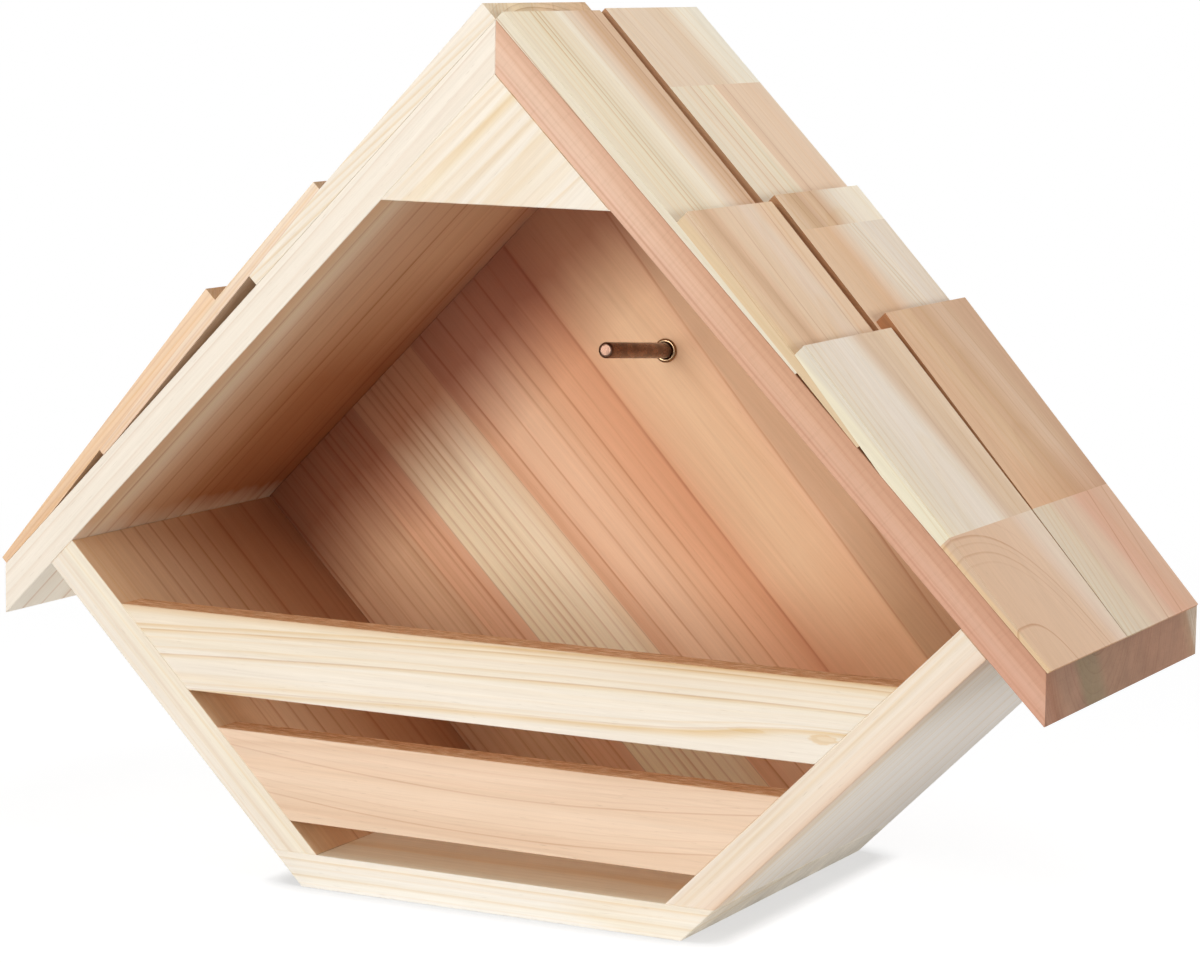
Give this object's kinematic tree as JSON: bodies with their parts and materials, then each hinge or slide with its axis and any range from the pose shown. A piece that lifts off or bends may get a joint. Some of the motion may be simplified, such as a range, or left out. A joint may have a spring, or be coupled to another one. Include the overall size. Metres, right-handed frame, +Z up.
{
  "type": "dove nesting box",
  "caption": "House-shaped open-front wooden nest box for doves, with a steep shingled roof on outward-leaning side boards, slatted front ledge and a metal peg inside.",
  "frame": {"origin": "on the ground under the middle of the floor board, half way from front to back", "axes": "+Z up, +X to the right seen from the front, -Y out of the open front, +Y to the back"},
  "size_m": [0.473, 0.176, 0.3631],
  "materials": {
    "pale_wood": "planed cream softwood, unfinished",
    "red_wood": "planed salmon heartwood, unfinished",
    "peach_wood": "planed peach softwood, unfinished",
    "panel_wood": "edge-glued tan strips, planed",
    "shingle_wood": "sawn softwood wedges, unfinished",
    "bronze_metal": "bronze-coloured plated metal, satin"
  },
  "bodies": {
    "root": {"back_panel": "panel_wood", "bottom_board": "pale_wood", "front_gable": "pale_wood", "left_roof_board": "pale_wood", "left_shingle_back_1": "shingle_wood", "left_shingle_back_2": "shingle_wood", "left_shingle_back_3": "shingle_wood", "left_shingle_front_1": "shingle_wood", "left_shingle_front_2": "shingle_wood", "left_shingle_front_3": "shingle_wood", "left_side_board": "pale_wood", "middle_slat": "peach_wood", "peg": "bronze_metal", "peg_collar": "bronze_metal", "perch_slat": "pale_wood", "right_roof_board": "red_wood", "right_shingle_back_1": "shingle_wood", "right_shingle_back_1_head": "shingle_wood", "right_shingle_back_2": "shingle_wood", "right_shingle_back_2_head": "shingle_wood", "right_shingle_back_3": "shingle_wood", "right_shingle_back_3_toe": "shingle_wood", "right_shingle_front_1": "shingle_wood", "right_shingle_front_2": "shingle_wood", "right_shingle_front_3": "shingle_wood", "right_shingle_front_3_toe": "shingle_wood", "right_side_board": "pale_wood"}
  },
  "joints": []
}
